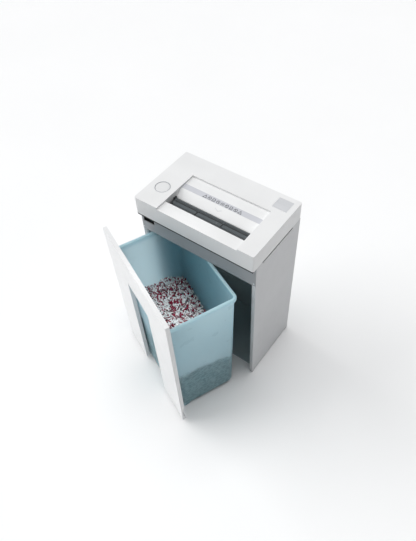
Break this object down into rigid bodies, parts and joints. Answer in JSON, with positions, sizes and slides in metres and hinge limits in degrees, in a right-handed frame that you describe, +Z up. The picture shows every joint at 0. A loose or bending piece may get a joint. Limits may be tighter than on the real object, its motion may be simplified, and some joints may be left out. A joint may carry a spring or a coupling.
{
  "type": "paper shredder",
  "caption": "Cross-cut paper shredder with a recessed feed slot and safety flap on a cabinet, and a translucent bin with a white front panel that draws out and turns.",
  "frame": {"origin": "on the floor, under the middle of the cabinet's footprint", "axes": "+Z up, -Y towards the front where the bin comes out, +X to the right seen from the front"},
  "size_m": [0.3766, 0.4168, 0.5103],
  "materials": {
    "white_wall": "satin powder coat",
    "white_head": "fine satin moulding",
    "white_panel": "satin powder coat",
    "slate_steel": "satin",
    "fascia_steel": "satin",
    "bright_steel": "zinc plated",
    "cutter_steel": "ground",
    "gear_steel": "machined",
    "bearing_bronze": "sintered",
    "black_plastic": "fine texture",
    "smoked_plastic": "smoked, clear",
    "tub_plastic": "translucent, satin",
    "button_plastic": "satin",
    "ring_plastic": "satin chrome look",
    "label_film": "printed film",
    "badge_metal": "brushed",
    "circuit_board": "solder mask",
    "motor_paint": "satin",
    "winding_copper": "enamelled wire",
    "capacitor_can": "drawn",
    "glide_plastic": "matt"
  },
  "bodies": {
    "cabinet": {"left_side_wall": "white_wall", "right_side_wall": "white_wall", "back_wall": "slate_steel", "base_plate": "slate_steel", "cabinet_feet": "glide_plastic", "front_fascia": "fascia_steel", "fascia_rivets": "bright_steel", "chassis_tray": "slate_steel", "chassis_screws": "bright_steel", "head_cover": "white_head", "button_ring": "ring_plastic", "button_spring": "bright_steel", "button_bracket": "circuit_board", "badge_plate": "badge_metal", "label_strip": "label_film", "flap_frame": "black_plastic", "feed_guide_front": "bright_steel", "feed_guide_rear": "bright_steel", "photo_sensor": "black_plastic", "frame_plate_left": "bright_steel", "frame_plate_right": "bright_steel", "tie_rods": "bright_steel", "shaft_bearings": "bearing_bronze", "stripper_comb_front": "bright_steel", "stripper_comb_rear": "bright_steel", "gear_axle": "bright_steel", "gear_plate": "bright_steel", "gear_posts": "bright_steel", "motor_can": "motor_paint", "motor_stator": "winding_copper", "control_board": "circuit_board", "run_capacitor": "capacitor_can", "interlock_switch": "black_plastic", "power_inlet": "black_plastic", "inlet_pins": "bright_steel", "door_magnets": "glide_plastic"},
    "safety_flap": {"safety_flap": "smoked_plastic"},
    "control_button": {"control_button": "button_plastic"},
    "cutter_b": {"cutter_shaft_b": "cutter_steel", "timing_gear_b": "gear_steel", "drive_wheel": "gear_steel"},
    "cutter_a": {"cutter_shaft_a": "cutter_steel", "timing_gear_a": "gear_steel"},
    "compound": {"compound_gear": "gear_steel"},
    "rotor": {"motor_rotor": "bright_steel", "motor_pinion": "gear_steel"},
    "bin_glide": {"swivel_glide": "glide_plastic"},
    "bin": {"bin_tub": "tub_plastic", "front_panel": "white_panel", "panel_screws": "bright_steel", "catch_plates": "bright_steel", "rear_glides": "glide_plastic", "pivot_socket": "black_plastic"}
  },
  "joints": [
    {"name": "cutter_b_spin", "type": "hinge", "parent": "cabinet", "child": "cutter_b", "pos_m": [-0.111, -0.033, 0.431], "axis": [1, 0, 0], "continuous": true},
    {"name": "cutter_a_spin", "type": "hinge", "parent": "cabinet", "child": "cutter_a", "pos_m": [-0.111, -0.065, 0.431], "axis": [1, 0, 0], "continuous": true},
    {"name": "compound_spin", "type": "hinge", "parent": "cabinet", "child": "compound", "pos_m": [-0.111, -0.00058, 0.4428], "axis": [1, 0, 0], "continuous": true},
    {"name": "motor_spin", "type": "hinge", "parent": "cabinet", "child": "rotor", "pos_m": [-0.111, 0.03025, 0.43956], "axis": [1, 0, 0], "continuous": true},
    {"name": "flap_hinge", "type": "hinge", "parent": "cabinet", "child": "safety_flap", "pos_m": [0.0125, -0.0356, 0.4926], "axis": [1, 0, 0], "range_deg": [0, 50], "stiffness_Nm_per_rad": 0.006, "springref_deg": -51.57},
    {"name": "button_press", "type": "slide", "parent": "cabinet", "child": "control_button", "axis": [0, 0, 1], "range_m": [-0.0012, 0], "stiffness_N_per_m": 900, "springref_m": 0.0003, "deforming": ["button_spring"]},
    {"name": "bin_slide", "type": "slide", "parent": "cabinet", "child": "bin_glide", "axis": [0, 1, 0], "range_m": [0, 0.112]},
    {"name": "bin_turn", "type": "hinge", "parent": "bin_glide", "child": "bin", "pos_m": [-0.112, -0.098, 0.006], "axis": [0, 0, 1], "range_deg": [0, 24]}
  ],
  "couplings": [
    {"joint": "cutter_a_spin", "follows": "cutter_b_spin", "ratio": -1},
    {"joint": "compound_spin", "follows": "cutter_b_spin", "ratio": -2.2857},
    {"joint": "motor_spin", "follows": "cutter_b_spin", "ratio": 9.5238},
    {"joint": "bin_turn", "follows": "bin_slide", "rad_per_m": 3.74}
  ]
}
